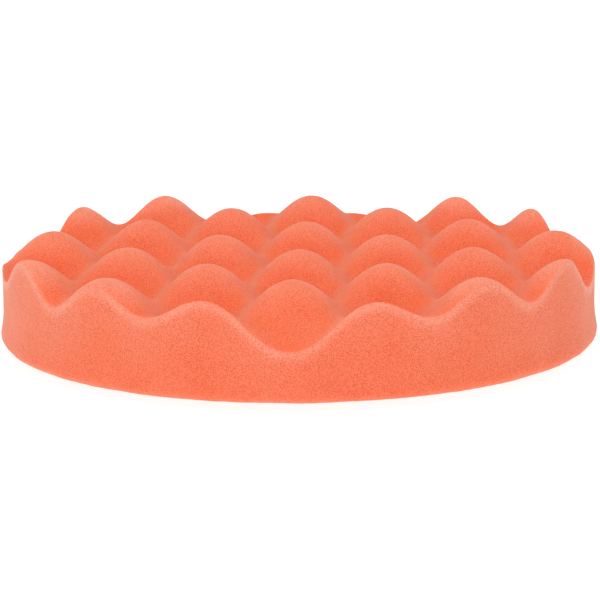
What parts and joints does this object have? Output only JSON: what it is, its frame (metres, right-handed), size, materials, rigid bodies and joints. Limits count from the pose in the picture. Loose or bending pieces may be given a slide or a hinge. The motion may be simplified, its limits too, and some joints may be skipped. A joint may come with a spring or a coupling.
{
  "type": "polishing pad",
  "caption": "Round foam polishing pad with an egg-crate waffle face and a hook-and-loop backing.",
  "frame": {"origin": "centre of the hook-and-loop backing's free face, which the pad lies on", "axes": "+Z from the backing towards the waffle face, along the disc's axis; +X along the bump rows"},
  "size_m": [0.15, 0.15, 0.0272],
  "materials": {
    "pad_foam": "matte",
    "adhesive_film": "satin",
    "loop_cloth": "matte",
    "loop_pile": "matte"
  },
  "bodies": {
    "root": {"waffle_foam": "pad_foam", "hot_melt_film": "adhesive_film", "loop_ground_cloth": "loop_cloth", "loop_pile": "loop_pile"}
  },
  "joints": []
}
